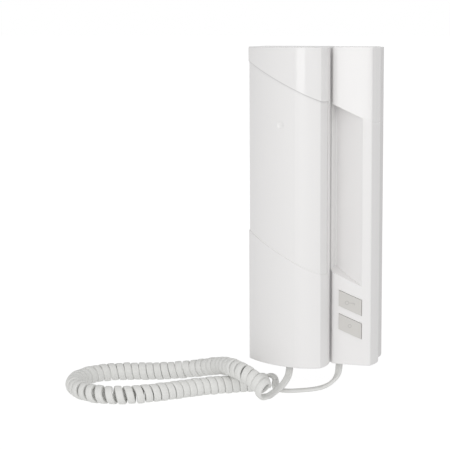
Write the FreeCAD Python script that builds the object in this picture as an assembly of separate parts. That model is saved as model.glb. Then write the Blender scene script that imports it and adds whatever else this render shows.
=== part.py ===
import FreeCAD, Part
import math
import os

# A slimline wall phone for a door-entry line. Millimetres.
# X runs to the right, Y into the wall and Z up. The origin is on the wall, behind the middle of the phone.

V = FreeCAD.Vector
X_AXIS = V(1, 0, 0)
Y_AXIS = V(0, 1, 0)
Z_AXIS = V(0, 0, 1)

# ---- Driving dimensions ------------------------------------------------------------------------------
phone_width = 84.0
phone_height = 212.0
left_flat = 0.5              # the left-hand side is flat; the right-hand one bulges beyond the width
wall = 2.0

# Wall plate
plate_depth = 8.0
plate_skin = 2.0
plate_inset = 0.7
plate_corner = 3.5
rim_thickness = 1.4          # the rim of the plate that centres the cover
rim_reach = 1.8
rim_foot = 1.0
fixing_spacing = 60.0
fixing_radius = 2.25
fixing_height = 14.0         # the screws and the cable entry lie this far above the middle
entry_width = 26.0
entry_height = 18.0

# Base cover
parting_gap = 0.3
deck_front = 24.0            # the deck under the handset, from the wall
panel_peak = 26.5            # the highest line of the bowed panel, from the wall
panel_edge = 23.2            # where the panel meets its right-hand corner
side_bulge = 0.8
side_bulge_depth = 4.0       # the bulge is widest this far in front of the cover's back edge
side_foot = 0.2
side_lean = 0.1
panel_corner_width = 1.3
panel_corner_depth = 1.8
panel_corner_round = 0.45
panel_bow = 0.7
crown_inset = 2.8            # the highest line of the panel, right of the step
step_round = 0.7
step_middle = 0.8
corner_middle = 0.5
panel_width = 27.6           # from the step beside the deck to the right-hand edge
recess_depth = 16.0          # the recess floor at its left-hand end, from the wall
recess_end_depth = 24.0
recess_overlap = 0.4         # the recess reaches this far under the handset's edge
recess_margin = 6.0          # the panel's edge right of the recess
recess_top = 175.3           # at its left-hand end, from the underside of the phone
recess_bottom = 63.5
recess_drop = 0.46           # fall of the top and bottom edges, per millimetre to the right
recess_ramp = 0.16           # slope of the lower wall
recess_round = 2.5
recess_sag = 0.29            # of its rounding: how far the rounding's middle lies from both walls
edge_round = 0.7

# Pockets of the deck, and the pads of the handset that sink into them
pad_height = 4.4
pad_clearance = 0.6
pocket_extra = 1.0           # more length at the top of a pocket than the lift asks for
ear_radius = 22.0
mouth_radius = 14.5
pad_offset = -0.45           # the pads lie left of the handset's middle
ear_above_middle = 68.0
mouth_below_middle = 72.0

# Hook lug and its slot
lift_angle = 30.0            # the handset leaves outwards and upwards at this angle
lug_width = 16.0
lug_thickness = 3.0
lug_reach = 7.0
lug_clearance = 0.4
lug_below_top = 10.0

# Keys
key_count = 2
key_margin = 21.6            # from the keys' left-hand edge to the right-hand edge of the phone
key_width = 15.8
key_height = 10.9
key_drop = 6.2
key_pitch = 15.9
key_top = 50.9               # top left corner of the upper key, from the underside of the phone
key_gap = 0.25
key_proud = 0.6
key_travel = 1.2
key_stop_gap = 0.1
key_flange = 1.0
key_flange_thickness = 1.2
key_flange_gap = 0.1         # between the flange and the back of the panel
key_stem_radius = 2.5

# Handset
handset_left_depth = 35.0
handset_right_depth = 43.6
handset_apex_inset = 16.4    # the highest line, left of the handset's right-hand edge
handset_apex_depth = 49.2
handset_back = 25.5
handset_side_bulge = 1.0
handset_bulge_depth = 7.0    # the bulge is widest this far behind the front right edge
handset_back_right = 0.8     # the back is narrower than the front by these
handset_back_left = 1.0
handset_seam = 33.4
seam_gap = 0.1
zone_step = 0.6
upper_zone = 202.6           # height of the upper step at the handset's left edge, from the underside
lower_zone = 88.8
zone_drop = 0.46
zone_margin = 5.0            # the cut that sinks the zone passes the handset's sides by this
dimple_offset = 0.6          # right of the pads' middle
dimple_height = 161.4
dimple_width = 5.2
dimple_depth = 0.7

# Circuit board and what stands on it
board_back = 9.2
board_thickness = 1.6
board_left_margin = 5.5
board_right_margin = 4.0
board_screw_margin = 5.0
board_lower_screw = 8.0
board_post_radius = 3.0
board_below_middle = 12.0
board_above_bottom = 14.0
switch_size = 6.0
switch_body = 3.5
switch_actuator = 0.8
switch_actuator_radius = 1.75

# Hook lever
lever_pivot_depth = 14.0
lever_pivot_height = -18.0
lever_hub_radius = 3.0
lever_side_gap = 0.5
lever_ear_half = 4.0
lever_ear_reach = 2.4        # the ears go this far behind the pin's middle
lever_chamfer_width = 1.5
lever_chamfer_depth = 1.0
lever_slot_below = 0.6
lever_slot_above = 2.2
lever_width = 10.0
lever_arm = 22.0
lever_thickness = 2.0
lever_nose = 6.0
pin_radius = 1.25
hook_switch_drop = 17.6      # below the lever's pin
hook_switch_length = 8.0
hook_button = 0.3
hook_button_radius = 1.0
pin_running_clearance = 0.05

# Sound capsules and other bought parts
capsule_radius = 18.0
capsule_depth = 8.0
seal_thickness = 1.0
mic_radius = 4.85
mic_depth = 6.7
boot_wall = 1.6
boot_clearance = 0.05
speaker_radius = 18.0
speaker_depth = 8.0
speaker_height = 16.0
speaker_frame_radius = 15.0
speaker_magnet = 10.0
speaker_rim = 1.5
speaker_frame = 3.0
speaker_hollow = 0.8
speaker_hollow_radius = 15.5
slot_rows = 5
slot_pitch = 5.0
slot_length = 22.0
slot_width = 1.8
jack_width = 13.0
jack_depth = 10.8
jack_height = 16.0
jack_floor = 0.3             # the jack starts this far above the underside
plug_width = 7.7
plug_depth = 6.6
plug_height = 11.7
plug_clearance = 0.2
plug_contacts = 4
contact_pitch = 1.27
contact_width = 0.5
contact_depth = 1.5
contact_length = 4.0
plug_recess = 0.6            # the plug's lower end, above the underside of the phone
terminal_count = 4
terminal_pitch = 4.0
terminal_height = 9.0
terminal_depth = 8.0
terminal_gap = 5.5           # right of the lever
terminal_below_edge = 2.0
terminal_bore = 1.7
terminal_screw_radius = 1.6
wire_hole = 2.6
wire_hole_front = 3.4
wire_hole_depth = 5.0
terminal_screw_front = 6.0   # from the board
terminal_screw_slot = 0.6
terminal_slot_depth = 0.7
screw_radius = 1.5
screw_head_radius = 2.8
screw_clearance = 0.2
board_hole_clearance = 0.1
head_clearance = 0.3
screw_head_height = 1.6
screw_tip_gap = 0.7          # the bore goes on past the screw's tip
screw_slot_radius = 0.9
post_floor = 0.5             # left under the bores of the board's posts
board_screw_length = 6.0
cover_screw_depth = 14.8
cover_screw_inset = 25.0     # from the left-hand edge
cover_screw_length = 8.0
boss_radius = 4.0
boss_rise = 1.5
screw_block = 8.0
screw_block_height = 9.0
upper_screw_gap = 8.0        # from the ear pad's edge
lower_screw_gap = 14.0       # from the mouth pad's edge
handset_post_radius = 3.5
handset_post_height = 9.0
post_root = 2.5              # the front post starts inside the front wall
handset_bore_depth = 19.0
handset_screw_seat = 3.0
handset_screw_length = 12.0
handset_screw_head = 2.0
pad_round = 1.2
ear_hole_radius = 1.0
ear_hole_step = 4.5
ear_hole_rings = 3
mouth_hole_radius = 0.9
mouth_hole_step = 3.5
mouth_hole_rings = 1
capsule_magnet = 3.0
capsule_magnet_radius = 11.0
seal_width = 3.0
weight_left = 20.0
weight_right = 12.0
weight_depth = 6.0
weight_low = -14.0
weight_high = 26.0
weight_round = 1.0

# Cord
cord_width = 5.2
coil_diameter = 12.0
arc_share = 0.45             # of the shorter run beside a corner
floor_below = 20.0           # the surface that the cord lies on, below the underside of the phone
handset_exit_x = -10.0
handset_exit_depth = 38.0
base_exit_x = 17.0
gap = 0.3                    # between solids of different moving bodies
loose = 0.2                  # between pieces of one body that only sit side by side
over = 1.0                   # how far a cutting shape passes the face that it cuts

# ---- Places worked out from them ---------------------------------------------------------------------
top = phone_height / 2
bottom = -phone_height / 2
left = -phone_width / 2 + left_flat
right = phone_width / 2
panel_left = right - panel_width
recess_left = panel_left - recess_overlap
recess_right = right - recess_margin
key_left = right - key_margin
handset_left = left
handset_right = panel_left
handset_apex_x = handset_right - handset_apex_inset
pad_x = (handset_left + handset_right) / 2 + pad_offset
lever_x = pad_x
dimple_x = pad_x + dimple_offset
board_left = left + board_left_margin
board_right = right - board_right_margin
cover_back = plate_depth + parting_gap
board_front = board_back + board_thickness
base_exit_depth = board_front + jack_depth / 2
pocket_depth = deck_front - pad_height - pad_clearance
ear_z = ear_above_middle
mouth_z = -mouth_below_middle
pad_face = handset_back - pad_height
lift = V(0, -math.cos(math.radians(lift_angle)), math.sin(math.radians(lift_angle)))


# ---- Helpers -----------------------------------------------------------------------------------------
def box(x0, x1, y0, y1, z0, z1):
    """A box between two corners."""
    return Part.makeBox(x1 - x0, y1 - y0, z1 - z0, V(x0, y0, z0))


def rod_y(x, z, y0, y1, radius):
    """A round bar along Y."""
    return Part.makeCylinder(radius, y1 - y0, V(x, y0, z), Y_AXIS)


def rod_x(y, z, x0, x1, radius):
    """A round bar along X."""
    return Part.makeCylinder(radius, x1 - x0, V(x0, y, z), X_AXIS)


def rod_z(x, y, z0, z1, radius):
    """A round bar along Z."""
    return Part.makeCylinder(radius, z1 - z0, V(x, y, z0), Z_AXIS)


def polygon(points):
    """A flat face with these corners."""
    return Part.Face(Part.makePolygon([V(*p) for p in points] + [V(*points[0])]))


def upright(points, y0, y1):
    """A prism with corners (x, z), between two distances from the wall."""
    return polygon([(x, y0, z) for x, z in points]).extrude(V(0, y1 - y0, 0))


def sideways(points, x0, x1):
    """A prism along X with corners (y, z)."""
    return polygon([(x0, y, z) for y, z in points]).extrude(V(x1 - x0, 0, 0))


def raised(wire, z0, z1):
    """A prism over a closed outline seen from above."""
    face = Part.Face(wire)
    face.translate(V(0, 0, z0))
    return face.extrude(V(0, 0, z1 - z0))


def slanted(x0, x1, z_left, height, drop):
    """Corners of a parallelogram whose top left corner is at z_left and which falls by drop to the right."""
    return [(x0, z_left), (x1, z_left - drop), (x1, z_left - drop - height), (x0, z_left - height)]


def arc(a, b, c):
    """An arc through three points (x, y)."""
    return Part.Arc(V(a[0], a[1], 0), V(b[0], b[1], 0), V(c[0], c[1], 0)).toShape()


def line(a, b):
    """A straight edge between two points (x, y)."""
    return Part.LineSegment(V(a[0], a[1], 0), V(b[0], b[1], 0)).toShape()


def end_edges(solid):
    """The edges round the top and bottom faces of an upright prism."""
    box_z = (solid.BoundBox.ZMin, solid.BoundBox.ZMax)
    found = []
    for edge in solid.Edges:
        heights = [v.Z for v in edge.Vertexes]
        if any(all(abs(h - z) < 1e-6 for h in heights) for z in box_z):
            found.append(edge)
    return found


def corner_edges(solid):
    """The upright edges of an upright prism where two of its faces meet at an angle."""
    found = []
    for edge in solid.Edges:
        if edge.BoundBox.ZLength < solid.BoundBox.ZLength - 0.1:
            continue
        faces = [face for face in solid.Faces if any(edge.isSame(other) for other in face.Edges)]
        point = edge.Vertexes[0].Point
        normals = [face.normalAt(*face.Surface.parameter(point)) for face in faces]
        if normals[0].getAngle(normals[1]) > 0.2:
            found.append(edge)
    return found


def socket(x, depth, z0, grow):
    """The block of a cord jack, grown on its sides, from its mouth at z0 upwards."""
    return box(
        x - jack_width / 2 - grow,
        x + jack_width / 2 + grow,
        -depth - jack_depth / 2 - grow,
        -depth + jack_depth / 2 + grow,
        z0,
        z0 + jack_height + grow,
    )


def screw(start, direction, length, head):
    """A pan-head screw from the underside of its head along direction."""
    shank = Part.makeCylinder(screw_radius, length, start, direction)
    cap = Part.makeCylinder(screw_head_radius, head, start - direction * head, direction)
    slot_mark = Part.makeCylinder(screw_slot_radius, head / 2, start - direction * head, direction)
    return cap.fuse(shank).removeSplitter().cut(slot_mark)


# ---- Base --------------------------------------------------------------------------------------------
def base_outline(inset, back):
    """The base seen from above, moved inwards by inset, open to the wall at y = -back."""
    foot = (right + side_foot, -back)
    side = (right + side_bulge, -cover_back - side_bulge_depth)
    front_corner = (right - side_lean, -panel_edge + panel_corner_depth)
    rounded = (right - panel_corner_round, -panel_edge + corner_middle)
    panel_corner = (right - panel_corner_width, -panel_edge)
    crown = (panel_left + crown_inset, -panel_peak)
    middle_x = (crown[0] + panel_corner[0]) / 2
    middle_y = -(panel_peak + panel_edge) / 2 - panel_bow
    shoulder = (panel_left + step_round, -panel_peak + step_middle)
    deck_edge = (panel_left, -deck_front)
    edges = [
        arc(foot, side, front_corner),
        arc(front_corner, rounded, panel_corner),
        arc(panel_corner, (middle_x, middle_y), crown),
        arc(crown, shoulder, deck_edge),
        line(deck_edge, (left, -deck_front)),
        line((left, -deck_front), (left, -back)),
        line((left, -back), foot),
    ]
    outline = Part.Wire(edges)
    if inset:
        outline = outline.makeOffset2D(-inset)
    return outline


def recess(grow):
    """The finger recess beside the handset, with its walls moved outwards by grow."""
    slope = (recess_end_depth - recess_depth) / (recess_right - recess_left)
    shift = grow * math.hypot(1, slope)
    x0 = recess_left - grow
    x1 = recess_right + grow
    front = -panel_peak - 3 * over
    floor_left = -recess_depth + slope * grow + shift
    floor_right = -recess_end_depth - slope * grow + shift
    turn = math.pi / 2 + math.atan(slope)
    tangent = (recess_round + grow) * math.tan((math.pi - turn) / 2)
    along = math.hypot(x1 - x0, floor_right - floor_left)
    start = (x0, floor_left - tangent)
    end_x = x0 + tangent * (x1 - x0) / along
    end = (end_x, floor_left + tangent * (floor_right - floor_left) / along)
    sag = tangent * recess_sag
    middle = (x0 + sag, floor_left - sag)
    plan = Part.Wire([
        line((x0, front), start),
        arc(start, middle, end),
        line(end, (x1, floor_right)),
        line((x1, floor_right), (x1, front)),
        line((x1, front), (x0, front)),
    ])
    well = raised(plan, bottom, top)
    fall = recess_drop * (x1 - x0)
    high = bottom + recess_top + recess_drop * grow + grow
    low = bottom + recess_bottom + recess_drop * grow - grow
    ramp_front = recess_ramp * (-front - panel_peak)
    ramp_back = recess_ramp * (panel_peak - board_front)
    rings = []
    for y, rise in ((front, -ramp_front), (-board_front, ramp_back)):
        wider = 2 * recess_drop * over
        ring = slanted(x0 - over, x1 + over, high + wider / 2, high - low - rise, fall + wider)
        rings.append(Part.makePolygon([V(x, y, z) for x, z in ring + ring[:1]]))
    return well.common(Part.makeLoft(rings, True, True))


def pocket(z, radius, grow):
    """A round pocket of the deck, longer at the top, so that a pad can leave along the lift."""
    back = -pocket_depth + grow
    front = -deck_front - over
    upper = z + pad_height * math.tan(math.radians(lift_angle)) + pocket_extra
    lower_round = rod_y(pad_x, z, front, back, radius + grow)
    upper_round = rod_y(pad_x, upper, front, back, radius + grow)
    middle = box(pad_x - radius - grow, pad_x + radius + grow, front, back, z, upper)
    return lower_round.fuse([upper_round, middle]).removeSplitter()


def lug(grow, extra):
    """The lug that the handset hangs on, parallel to the lift, grown by the slot's clearance."""
    z = top - lug_below_top
    root = V(0, -deck_front + wall, z)
    tip = root + lift * (lug_reach + wall + extra)
    across = V(0, lift.z, -lift.y) * (lug_thickness / 2 + grow)
    corners = [root - across, tip - across, tip + across, root + across]
    half = lug_width / 2 + grow
    return sideways([(c.y, c.z) for c in corners], pad_x - half, pad_x + half)


def key_window(index, grow):
    """Corners of a key's window, grown on every side."""
    z = bottom + key_top - index * key_pitch
    slope = key_drop / key_width
    z_grown = z + grow + slope * grow
    width = key_width + 2 * grow
    x0 = key_left - grow
    return slanted(x0, x0 + width, z_grown, key_height + 2 * grow, slope * width)


def key_centre(index):
    """Middle of a key, as (x, z)."""
    z = bottom + key_top - index * key_pitch - key_drop / 2 - key_height / 2
    return key_left + key_width / 2, z


def lever_slot():
    """The slot in the deck that the lever's nose comes through."""
    z = lever_pivot_height - lever_arm
    half = lever_width / 2 + lever_side_gap
    low = z - lever_nose / 2 - lever_slot_below
    high = z + lever_nose / 2 + lever_slot_above
    return box(lever_x - half, lever_x + half, -deck_front - over, -deck_front + wall + over, low, high)


def make_cover():
    """The front housing: panel, deck, pockets, recess, key windows and the ears of the hook lever."""
    block = raised(base_outline(0, cover_back), bottom, top)
    front_ends = [e for e in end_edges(block) if e.BoundBox.YMin < -cover_back - over]
    block = block.makeFillet(edge_round, front_ends + corner_edges(block))
    hollow = raised(base_outline(wall, cover_back - wall - over), bottom + wall, top - wall)
    cover = block.cut(hollow)
    thick = [recess(wall), pocket(ear_z, ear_radius + pad_clearance, wall)]
    thick.append(pocket(mouth_z, mouth_radius + pad_clearance, wall))
    cover = cover.fuse([piece.common(block) for piece in thick])
    cover = cover.cut([recess(0), pocket(ear_z, ear_radius + pad_clearance, 0)])
    cover = cover.cut(pocket(mouth_z, mouth_radius + pad_clearance, 0))
    cover = cover.fuse(lug(0, 0))
    for side in (-1, 1):
        inner = lever_x + side * (lever_width / 2 + lever_side_gap)
        outer = inner + side * wall
        cover = cover.fuse(box(
            min(inner, outer),
            max(inner, outer),
            -deck_front + wall / 2,
            -lever_pivot_depth + lever_ear_reach,
            lever_pivot_height - lever_ear_half,
            lever_pivot_height + lever_ear_half,
        ))
    half_pin = lever_width / 2 + lever_side_gap + wall + over
    pin = rod_x(-lever_pivot_depth, lever_pivot_height, lever_x - half_pin, lever_x + half_pin, pin_radius)
    cover = cover.cut(pin)
    cover = cover.cut(lever_slot())
    for index in range(key_count):
        cover = cover.cut(upright(key_window(index, 0), -panel_peak - over, -deck_front / 2))
    for row in range(slot_rows):
        z = speaker_height + (row - (slot_rows - 1) / 2) * slot_pitch
        cover = cover.cut(box(
            pad_x - slot_length / 2,
            pad_x + slot_length / 2,
            -deck_front - over,
            -deck_front + wall + over,
            z - slot_width / 2,
            z + slot_width / 2,
        ))
    cover = cover.cut(socket(base_exit_x, base_exit_depth, bottom - over, loose))
    cover = cover.fuse(cover_boss()).cut(cover_screw_hole())
    return cover.removeSplitter()


def cover_boss():
    """The seat of the cover screw on the bottom wall."""
    x = cover_screw_x()
    return rod_z(x, -cover_screw_depth, bottom + wall / 2, bottom + wall + boss_rise, boss_radius)


def cover_screw_hole():
    """Clearance hole and head seat of the cover screw."""
    x = cover_screw_x()
    seat = rod_z(x, -cover_screw_depth, bottom - over, bottom + wall, screw_head_radius + head_clearance)
    shank_top = bottom + wall + boss_rise + over
    shank = rod_z(x, -cover_screw_depth, bottom, shank_top, screw_radius + screw_clearance)
    return seat.fuse(shank)


def cover_screw_x():
    """The cover screw is left of the middle."""
    return left + cover_screw_inset


def make_plate():
    """The wall plate: a shallow tray with a rim, screw holes, cable entry, posts and the screw block."""
    x0 = left + plate_inset
    x1 = right - plate_inset
    z0 = bottom + plate_inset
    z1 = top - plate_inset
    tray = box(x0, x1, -plate_depth, 0, z0, z1)
    corners = [e for e in tray.Edges if e.BoundBox.YLength > plate_depth / 2 and e.BoundBox.ZMax < 0]
    tray = tray.makeFillet(plate_corner, corners)
    tray = tray.cut(box(x0 + wall, x1 - wall, -plate_depth - over, -plate_skin, z0 + wall, z1 - wall))
    rim_out = wall + loose
    rim_in = rim_out + rim_thickness
    rim_front = -cover_back - rim_reach
    rim_back = -plate_depth + rim_foot
    rim = box(left + rim_out, right - rim_out, rim_front, rim_back, bottom + rim_out, top - rim_out)
    rim = rim.cut(box(left + rim_in, right - rim_in, rim_front - over, 0, bottom + rim_in, top - rim_in))
    foot = box(left + wall, right - wall, -plate_depth, rim_back, bottom + wall, top - wall)
    foot_front = -plate_depth - over
    foot = foot.cut(box(left + rim_in, right - rim_in, foot_front, 0, bottom + rim_in, top - rim_in))
    tray = tray.fuse([rim, foot])
    for x, z in board_screw_places():
        tray = tray.fuse(rod_y(x, z, -board_back, -plate_skin / 2, board_post_radius))
    x = cover_screw_x()
    half = screw_block / 2
    block_bottom = bottom + wall + boss_rise + loose
    block_top = block_bottom + screw_block_height
    block_front = -cover_screw_depth - half
    block = box(x - half, x + half, block_front, -plate_skin / 2, block_bottom, block_top)
    tray = tray.fuse(block)
    bore_top = bottom + wall + cover_screw_length + screw_tip_gap
    tray = tray.cut(rod_z(x, -cover_screw_depth, block_bottom - over, bore_top, screw_radius))
    for x, z in board_screw_places():
        tray = tray.cut(rod_y(x, z, -board_back - over, -plate_skin - post_floor, screw_radius))
    for side in (-1, 1):
        tray = tray.cut(rod_y(side * fixing_spacing / 2, fixing_height, -plate_depth, over, fixing_radius))
    entry_low = fixing_height - entry_height / 2
    entry_high = fixing_height + entry_height / 2
    tray = tray.cut(box(-entry_width / 2, entry_width / 2, -plate_depth, over, entry_low, entry_high))
    tray = tray.cut(socket(base_exit_x, base_exit_depth, bottom - over, loose))
    return tray.removeSplitter()


def board_screw_places():
    """Where the circuit board is screwed to the plate's posts."""
    low = bottom + board_above_bottom + board_lower_screw
    high = -board_below_middle - board_screw_margin
    near = board_left + board_screw_margin
    return [(near, high), (board_right - board_screw_margin, high), (near, low)]


def make_board():
    """The main circuit board, with holes for its screws."""
    low = bottom + board_above_bottom
    board = box(board_left, board_right, -board_front, -board_back, low, -board_below_middle)
    for x, z in board_screw_places():
        radius = screw_radius + board_hole_clearance
        board = board.cut(rod_y(x, z, -board_front - over, -board_back + over, radius))
    return board


def make_key(index):
    """A key cap that follows the panel, its flange behind the panel and its stem."""
    cap_skin = raised(base_outline(-key_proud, cover_back), bottom, top)
    behind = wall + key_flange_gap
    front = -panel_peak - key_proud - over
    back = -deck_front / 2
    cap_skin = cap_skin.cut(raised(base_outline(behind, cover_back - over), bottom + over, top - over))
    cap = upright(key_window(index, -key_gap), front, back).common(cap_skin)
    inner = base_outline(behind + key_flange_thickness, cover_back - over)
    flange_skin = raised(base_outline(behind, cover_back), bottom + wall, top - wall)
    flange_skin = flange_skin.cut(raised(inner, bottom + wall, top - wall))
    flange = upright(key_window(index, key_flange), front, back).common(flange_skin)
    x, z = key_centre(index)
    stem_back = -board_front - switch_body - switch_actuator - key_travel - key_stop_gap
    stem = rod_y(x, z, -panel_edge, stem_back, key_stem_radius)
    return cap.fuse([flange, stem]).removeSplitter()


def make_tactile_switch(index):
    """The switch that a key presses: a square body and a round actuator."""
    x, z = key_centre(index)
    half = switch_size / 2
    front = -board_front - switch_body
    body = box(x - half, x + half, front, -board_front, z - half, z + half)
    return body.fuse(rod_y(x, z, front - switch_actuator, front, switch_actuator_radius))


def make_lever():
    """The hook lever: hub, arm and the nose that the handset holds in."""
    x0 = lever_x - lever_width / 2
    x1 = lever_x + lever_width / 2
    hub = rod_x(-lever_pivot_depth, lever_pivot_height, x0, x1, lever_hub_radius)
    nose_z = lever_pivot_height - lever_arm
    arm_front = -lever_pivot_depth - lever_thickness / 2
    arm = box(x0, x1, arm_front, arm_front + lever_thickness, nose_z - lever_nose / 2, lever_pivot_height)
    tip = -handset_back + gap
    half = lever_nose / 2
    nose = sideways([
        (arm_front + lever_thickness / 4, nose_z - half),
        (arm_front + lever_thickness / 4, nose_z + half),
        (tip + lever_chamfer_depth, nose_z + half),
        (tip, nose_z + half - lever_chamfer_width),
        (tip, nose_z - half + lever_chamfer_width),
        (tip + lever_chamfer_depth, nose_z - half),
    ], x0, x1)
    bore_radius = pin_radius + pin_running_clearance
    bore = rod_x(-lever_pivot_depth, lever_pivot_height, x0 - over, x1 + over, bore_radius)
    return hub.fuse([arm, nose]).removeSplitter().cut(bore)


def make_hook_pin():
    """The pin that the hook lever turns on."""
    half = lever_width / 2 + lever_side_gap + wall
    return rod_x(-lever_pivot_depth, lever_pivot_height, lever_x - half, lever_x + half, pin_radius)


def make_hook_switch():
    """The flat switch behind the lever's arm."""
    z = lever_pivot_height - hook_switch_drop
    arm_back = lever_pivot_depth - lever_thickness / 2
    front = -(arm_back - gap - hook_button)
    half = hook_switch_length / 2
    body = box(lever_x - half, lever_x + half, front, -board_front, z - switch_size / 2, z + switch_size / 2)
    return body.fuse(rod_y(lever_x, z, front - hook_button, front, hook_button_radius))


def make_speaker():
    """The call speaker behind the slots of the deck: rim, frame and magnet."""
    z = speaker_height
    front = -deck_front + wall
    frame_back = front + speaker_rim + speaker_frame
    rim = rod_y(pad_x, z, front, front + speaker_rim, speaker_radius)
    frame = rod_y(pad_x, z, front + speaker_rim, frame_back, speaker_frame_radius)
    magnet = rod_y(pad_x, z, frame_back, front + speaker_depth, speaker_magnet)
    hollow = rod_y(pad_x, z, front, front + speaker_hollow, speaker_hollow_radius)
    return rim.fuse([frame, magnet]).cut(hollow)


def terminal_place(index):
    """Middle of one of the four line terminals, right of the lever."""
    return lever_x + lever_width / 2 + terminal_gap + index * terminal_pitch


def terminal_level():
    """Height of the clamp screws."""
    return -board_below_middle - terminal_below_edge - terminal_height / 2


def make_terminal_block():
    """The line terminals at the top of the board, with screw wells in front and wire holes on top."""
    z = terminal_level()
    z1 = z + terminal_height / 2
    x0 = terminal_place(0) - terminal_pitch / 2
    x1 = terminal_place(terminal_count - 1) + terminal_pitch / 2
    front = -board_front - terminal_depth
    well = -board_front - terminal_depth / 2
    block = box(x0, x1, front, -board_front, z - terminal_height / 2, z1)
    for index in range(terminal_count):
        x = terminal_place(index)
        half = wire_hole / 2
        block = block.cut(rod_y(x, z, front - over, well, terminal_bore))
        hole_front = -board_front - wire_hole_front
        low = z1 - wire_hole_depth
        block = block.cut(box(x - half, x + half, hole_front, -board_front - over, low, z1 + over))
    return block


def make_terminal_screw(index):
    """A clamp screw in its well."""
    z = terminal_level()
    x = terminal_place(index)
    back = -board_front - terminal_depth / 2
    front = -board_front - terminal_screw_front
    reach = terminal_screw_radius + over
    half = terminal_screw_slot / 2
    body = rod_y(x, z, front, back, terminal_screw_radius)
    return body.cut(box(x - reach, x + reach, front - over, front + terminal_slot_depth, z - half, z + half))


def make_jack(x, depth):
    """A cord jack: a block with a square mouth that faces down."""
    mouth = box(
        x - plug_width / 2 - plug_clearance,
        x + plug_width / 2 + plug_clearance,
        -depth - plug_depth / 2 - plug_clearance,
        -depth + plug_depth / 2 + plug_clearance,
        bottom - over,
        bottom + plug_height + plug_recess + 2 * plug_clearance,
    )
    return socket(x, depth, bottom + jack_floor, 0).cut(mouth)


def make_plug(x, depth):
    """A modular plug inside its jack, with its latch and four contact slots."""
    x0 = x - plug_width / 2
    z0 = bottom + plug_recess
    body = box(x0, x0 + plug_width, -depth - plug_depth / 2, -depth + plug_depth / 2, z0, z0 + plug_height)
    back = -depth + plug_depth / 2
    z1 = z0 + plug_height
    half = contact_width / 2
    for index in range(plug_contacts):
        at = x + (index - (plug_contacts - 1) / 2) * contact_pitch
        low = z1 - contact_length
        body = body.cut(box(at - half, at + half, back - contact_depth, back + over, low, z1 + over))
    return body


# ---- Handset -----------------------------------------------------------------------------------------
def handset_outline(inset):
    """The handset seen from above, moved inwards: two arcs in front, a bulged right side, a flat back."""
    left_rise = handset_apex_depth - handset_left_depth
    left_run = handset_apex_x - handset_left
    right_rise = handset_apex_depth - handset_right_depth
    right_run = handset_right - handset_apex_x
    left_radius = (left_run ** 2 + left_rise ** 2) / (2 * left_rise)
    right_radius = (right_run ** 2 + right_rise ** 2) / (2 * right_rise)

    def on_front(x):
        radius = left_radius if x < handset_apex_x else right_radius
        return (x, -handset_apex_depth + radius - math.sqrt(radius ** 2 - (x - handset_apex_x) ** 2))

    front_left = (handset_left, -handset_left_depth)
    apex = (handset_apex_x, -handset_apex_depth)
    front_right = (handset_right, -handset_right_depth)
    side = (handset_right + handset_side_bulge, -handset_right_depth + handset_bulge_depth)
    back_right = (handset_right - handset_back_right, -handset_back)
    back_left = (handset_left + handset_back_left, -handset_back)
    edges = [
        arc(front_left, on_front((handset_left + handset_apex_x) / 2), apex),
        arc(apex, on_front((handset_right + handset_apex_x) / 2), front_right),
        arc(front_right, side, back_right),
        line(back_right, back_left),
        line(back_left, front_left),
    ]
    outline = Part.Wire(edges)
    if inset:
        outline = outline.makeOffset2D(-inset)
    return outline


def handset_body():
    """The outside of the handset, with its middle zone sunk between two falling steps."""
    block = raised(handset_outline(0), bottom, top)
    block = block.makeFillet(edge_round, corner_edges(block) + end_edges(block))
    skin = raised(handset_outline(-over), bottom, top).cut(raised(handset_outline(zone_step), bottom, top))
    x0 = handset_left - zone_margin
    x1 = handset_right + zone_margin
    high = bottom + upper_zone - zone_drop * (x0 - handset_left)
    height = upper_zone - lower_zone
    fall = zone_drop * (x1 - x0)
    zone = upright(slanted(x0, x1, high, height, fall), -handset_apex_depth - 2 * over, -handset_seam)
    return block.cut(skin.common(zone))


def handset_hollow():
    """The space inside the two shells."""
    return raised(handset_outline(wall + zone_step), bottom + wall, top - wall)


def dimple():
    """A shallow round dimple in the front, as a ball to be cut away."""
    radius = ((dimple_width / 2) ** 2 + dimple_depth ** 2) / (2 * dimple_depth)
    strip = box(dimple_x, dimple_x + 0.1, -handset_apex_depth - over, 0, 0, 1)
    front = raised(handset_outline(zone_step), 0, 1).common(strip)
    surface = front.BoundBox.YMin
    return Part.makeSphere(radius, V(dimple_x, surface + dimple_depth - radius, bottom + dimple_height))


def handset_space(y0, y1):
    """All of the handset's space between two distances from the wall."""
    return box(handset_left - 3 * over, handset_right + 3 * over, y0, y1, bottom - over, top + over)


def make_front_shell():
    """The front half of the handset."""
    shell = handset_body().cut(handset_hollow())
    shell = shell.common(handset_space(-handset_apex_depth - over, -handset_seam - seam_gap))
    shell = shell.cut(socket(handset_exit_x, handset_exit_depth, bottom - over, loose))
    return shell.cut(dimple()).removeSplitter()


def sound_holes(z, rings, step, radius):
    """Round holes in rings about the middle of a pad."""
    places = [(pad_x, z)]
    for ring in range(1, rings + 1):
        for index in range(6 * ring):
            turn = 2 * math.pi * index / (6 * ring)
            places.append((pad_x + ring * step * math.cos(turn), z + ring * step * math.sin(turn)))
    return [rod_y(x, at, -pad_face - wall - over, -pad_face + over, radius) for x, at in places]


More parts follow.
